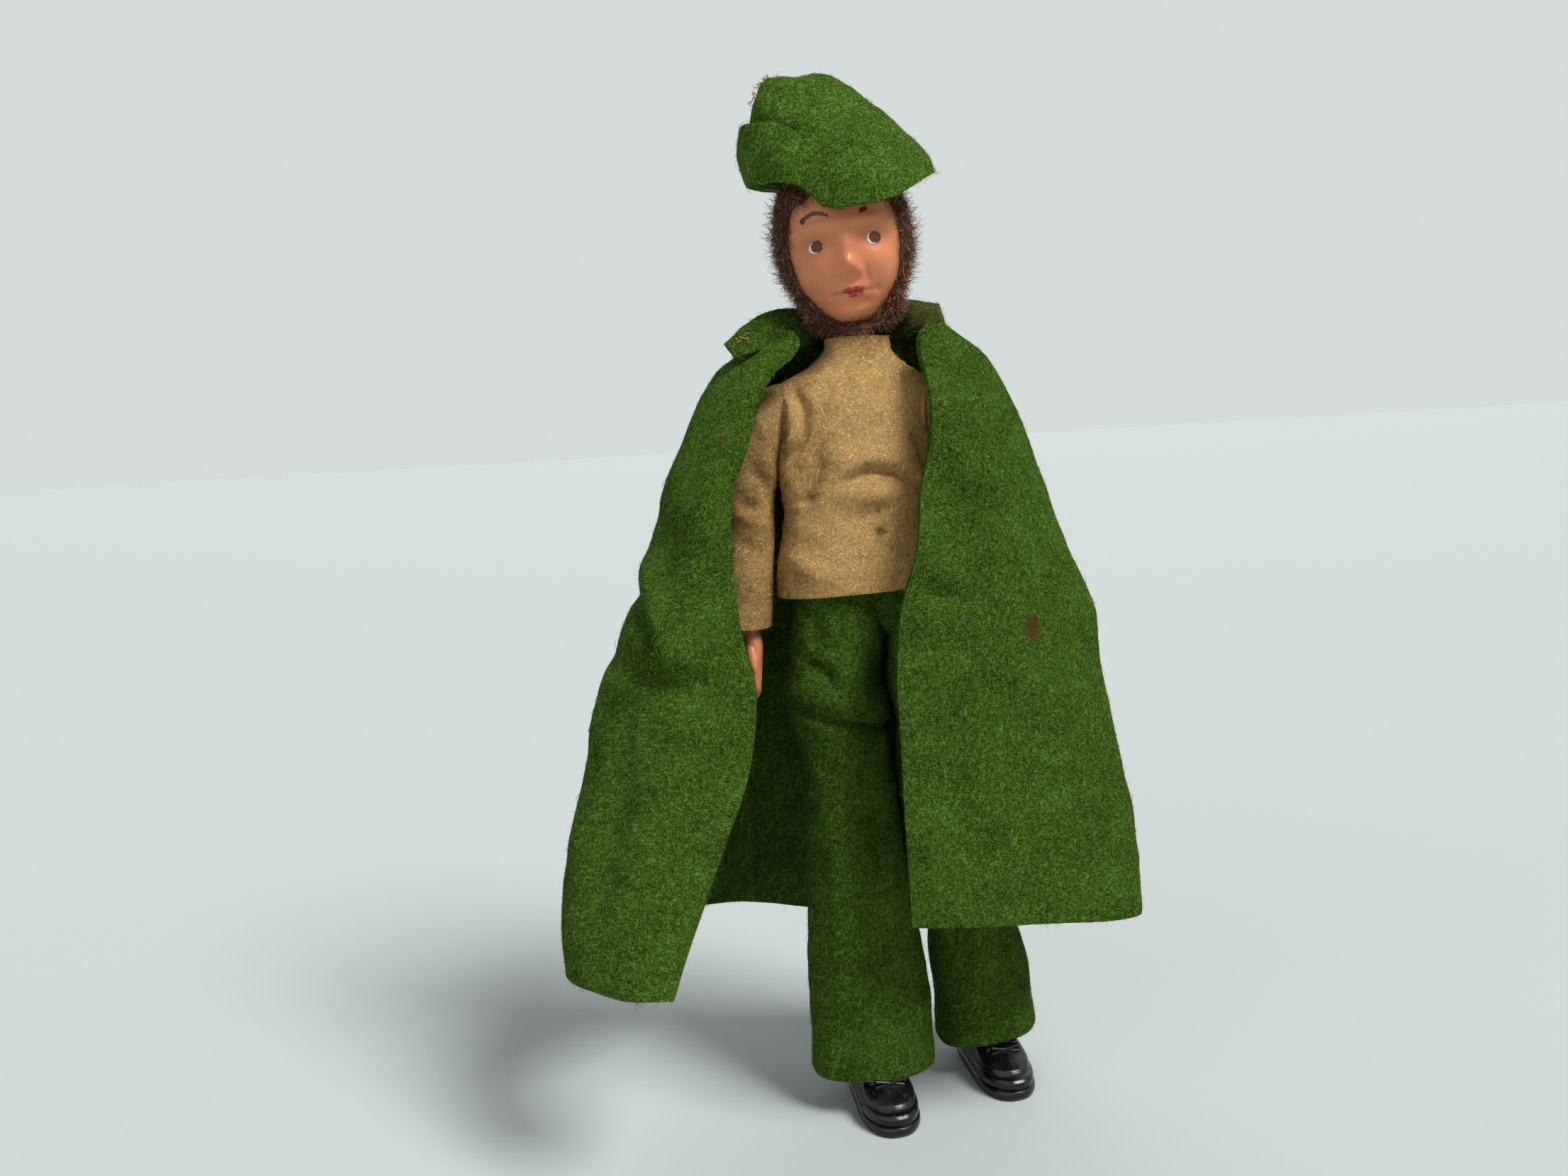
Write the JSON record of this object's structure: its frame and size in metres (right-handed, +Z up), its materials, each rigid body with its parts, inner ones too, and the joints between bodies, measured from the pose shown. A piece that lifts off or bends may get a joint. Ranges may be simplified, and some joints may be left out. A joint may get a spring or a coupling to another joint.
{
  "type": "bendy doll",
  "caption": "Bendy wire and padding doll of a bearded man in felt jumper, flared trousers, cape and cap, with moulded head, hands and boots.",
  "frame": {"origin": "on the floor under the middle of the bounding box", "axes": "+Z up, -Y the way the doll faces, +X its left"},
  "size_m": [0.0854, 0.0514, 0.1579],
  "materials": {
    "limb_padding": "pale cotton yarn wound round wire",
    "armature_wire": "soft drawn wire",
    "jumper_felt": "fuzzy tan felt",
    "neck_band_felt": "fuzzy tan felt",
    "sleeve_felt": "fuzzy tan felt",
    "trousers_felt": "fuzzy green felt",
    "cape_felt": "fuzzy green felt",
    "collar_felt": "fuzzy green felt, worn brownish inside",
    "hat_felt": "fuzzy green felt",
    "brim_felt": "fuzzy green felt",
    "stitch_thread": "brown sewing thread",
    "neck_vinyl": "soft tan vinyl",
    "head_vinyl": "soft tan vinyl with a painted face",
    "hand_vinyl": "soft tan vinyl",
    "wig_mohair": "brown mohair pile",
    "beard_mohair": "brown mohair pile",
    "boot_vinyl": "glossy black moulded vinyl"
  },
  "bodies": {
    "torso": {"torso_core": "limb_padding", "armature_spine": "armature_wire", "armature_shoulders": "armature_wire", "jumper_body": "jumper_felt", "jumper_neck_band": "neck_band_felt", "trousers_seat": "trousers_felt", "cape": "cape_felt", "cape_collar": "collar_felt", "collar_stitches": "stitch_thread"},
    "neck": {"neck_stalk": "neck_vinyl"},
    "head": {"head": "head_vinyl", "wig": "wig_mohair", "beard": "beard_mohair", "hat_crown": "hat_felt", "hat_brim": "brim_felt", "hat_stitches": "stitch_thread"},
    "shoulder_r": {"shoulder_padding_r": "limb_padding"},
    "upper_arm_r": {"upper_arm_padding_r": "limb_padding", "armature_upper_arm_r": "armature_wire", "sleeve_upper_r": "sleeve_felt"},
    "forearm_r": {"forearm_padding_r": "limb_padding", "armature_forearm_r": "armature_wire", "sleeve_lower_r": "sleeve_felt"},
    "hand_r": {"hand_r": "hand_vinyl"},
    "hip_r": {"hip_padding_r": "limb_padding"},
    "thigh_r": {"thigh_padding_r": "limb_padding", "armature_thigh_r": "armature_wire", "trouser_thigh_r": "trousers_felt"},
    "shin_r": {"shin_padding_r": "limb_padding", "armature_shin_r": "armature_wire", "trouser_shin_r": "trousers_felt"},
    "foot_r": {"boot_r": "boot_vinyl"},
    "shoulder_l": {"shoulder_padding_l": "limb_padding"},
    "upper_arm_l": {"upper_arm_padding_l": "limb_padding", "armature_upper_arm_l": "armature_wire", "sleeve_upper_l": "sleeve_felt"},
    "forearm_l": {"forearm_padding_l": "limb_padding", "armature_forearm_l": "armature_wire", "sleeve_lower_l": "sleeve_felt"},
    "hand_l": {"hand_l": "hand_vinyl"},
    "hip_l": {"hip_padding_l": "limb_padding"},
    "thigh_l": {"thigh_padding_l": "limb_padding", "armature_thigh_l": "armature_wire", "trouser_thigh_l": "trousers_felt"},
    "shin_l": {"shin_padding_l": "limb_padding", "armature_shin_l": "armature_wire", "trouser_shin_l": "trousers_felt"},
    "foot_l": {"boot_l": "boot_vinyl"}
  },
  "joints": [
    {"name": "head_nod", "type": "hinge", "parent": "torso", "child": "neck", "pos_m": [0.00543, 0.00435, 0.118], "axis": [1, 0, 0], "range_deg": [-20, 12], "deforming": ["jumper_neck_band", "cape_collar", "beard"]},
    {"name": "head_turn", "type": "hinge", "parent": "neck", "child": "head", "pos_m": [0.00543, 0.00435, 0.118], "axis": [-0.108, 0, 0.9942], "range_deg": [-65, 65], "deforming": ["jumper_neck_band", "cape_collar", "beard"]},
    {"name": "right_shoulder_swing", "type": "hinge", "parent": "torso", "child": "shoulder_r", "pos_m": [-0.00958, 0.00385, 0.109], "axis": [-1, 0, 0], "range_deg": [-30, 100], "deforming": ["cape", "cape_collar", "collar_stitches", "jumper_body", "sleeve_upper_r", "sleeve_lower_r"]},
    {"name": "right_shoulder_raise", "type": "hinge", "parent": "shoulder_r", "child": "upper_arm_r", "pos_m": [-0.00958, 0.00385, 0.109], "axis": [0, 1, 0], "range_deg": [0, 70], "deforming": ["cape", "cape_collar", "collar_stitches", "jumper_body", "sleeve_upper_r", "sleeve_lower_r"]},
    {"name": "right_elbow_bend", "type": "hinge", "parent": "upper_arm_r", "child": "forearm_r", "pos_m": [-0.01227, 0.00385, 0.093], "axis": [-0.9659, -0.259, 0], "range_deg": [0, 105], "deforming": ["sleeve_upper_r", "sleeve_lower_r", "cape"]},
    {"name": "right_wrist_bend", "type": "hinge", "parent": "forearm_r", "child": "hand_r", "pos_m": [-0.01388, 0.00345, 0.0786], "axis": [0, 1, 0], "range_deg": [-25, 25], "deforming": ["sleeve_lower_r"]},
    {"name": "left_shoulder_swing", "type": "hinge", "parent": "torso", "child": "shoulder_l", "pos_m": [0.01843, 0.00385, 0.109], "axis": [-1, 0, 0], "range_deg": [-30, 100], "deforming": ["cape", "cape_collar", "collar_stitches", "jumper_body", "sleeve_upper_l", "sleeve_lower_l"]},
    {"name": "left_shoulder_raise", "type": "hinge", "parent": "shoulder_l", "child": "upper_arm_l", "pos_m": [0.01843, 0.00385, 0.109], "axis": [0, -1, 0], "range_deg": [0, 70], "deforming": ["cape", "cape_collar", "collar_stitches", "jumper_body", "sleeve_upper_l", "sleeve_lower_l"]},
    {"name": "left_elbow_bend", "type": "hinge", "parent": "upper_arm_l", "child": "forearm_l", "pos_m": [0.02113, 0.00385, 0.093], "axis": [-0.9659, 0.259, 0], "range_deg": [0, 105], "deforming": ["sleeve_upper_l", "sleeve_lower_l", "cape"]},
    {"name": "left_wrist_bend", "type": "hinge", "parent": "forearm_l", "child": "hand_l", "pos_m": [0.02272, 0.00345, 0.0786], "axis": [0, -1, 0], "range_deg": [-25, 25], "deforming": ["sleeve_lower_l"]},
    {"name": "right_hip_swing", "type": "hinge", "parent": "torso", "child": "hip_r", "pos_m": [-0.00077, 0.00385, 0.077], "axis": [-1, 0, 0], "range_deg": [-25, 90], "deforming": ["trousers_seat", "trouser_thigh_r", "trouser_shin_r", "cape", "jumper_body"]},
    {"name": "right_hip_spread", "type": "hinge", "parent": "hip_r", "child": "thigh_r", "pos_m": [-0.00077, 0.00385, 0.077], "axis": [0, 1, 0], "range_deg": [0, 25], "deforming": ["trousers_seat", "trouser_thigh_r", "trouser_shin_r", "cape"]},
    {"name": "right_knee_bend", "type": "hinge", "parent": "thigh_r", "child": "shin_r", "pos_m": [0.00093, 0.00485, 0.0432], "axis": [1, 0, 0], "range_deg": [0, 105], "deforming": ["trouser_thigh_r", "trouser_shin_r", "cape"]},
    {"name": "right_ankle_flex", "type": "hinge", "parent": "shin_r", "child": "foot_r", "pos_m": [0.00252, 0.00605, 0.0085], "axis": [1, 0, 0], "range_deg": [-18, 18], "deforming": ["trouser_shin_r", "cape"]},
    {"name": "left_hip_swing", "type": "hinge", "parent": "torso", "child": "hip_l", "pos_m": [0.01002, 0.00385, 0.077], "axis": [-1, 0, 0], "range_deg": [-25, 90], "deforming": ["trousers_seat", "trouser_thigh_l", "trouser_shin_l", "cape", "jumper_body"]},
    {"name": "left_hip_spread", "type": "hinge", "parent": "hip_l", "child": "thigh_l", "pos_m": [0.01002, 0.00385, 0.077], "axis": [0, -1, 0], "range_deg": [0, 25], "deforming": ["trousers_seat", "trouser_thigh_l", "trouser_shin_l", "cape"]},
    {"name": "left_knee_bend", "type": "hinge", "parent": "thigh_l", "child": "shin_l", "pos_m": [0.01603, 0.00885, 0.0432], "axis": [1, 0, 0], "range_deg": [0, 105], "deforming": ["trouser_thigh_l", "trouser_shin_l", "cape"]},
    {"name": "left_ankle_flex", "type": "hinge", "parent": "shin_l", "child": "foot_l", "pos_m": [0.02162, 0.01465, 0.0085], "axis": [1, 0, 0], "range_deg": [-18, 18], "deforming": ["trouser_shin_l", "cape"]}
  ]
}
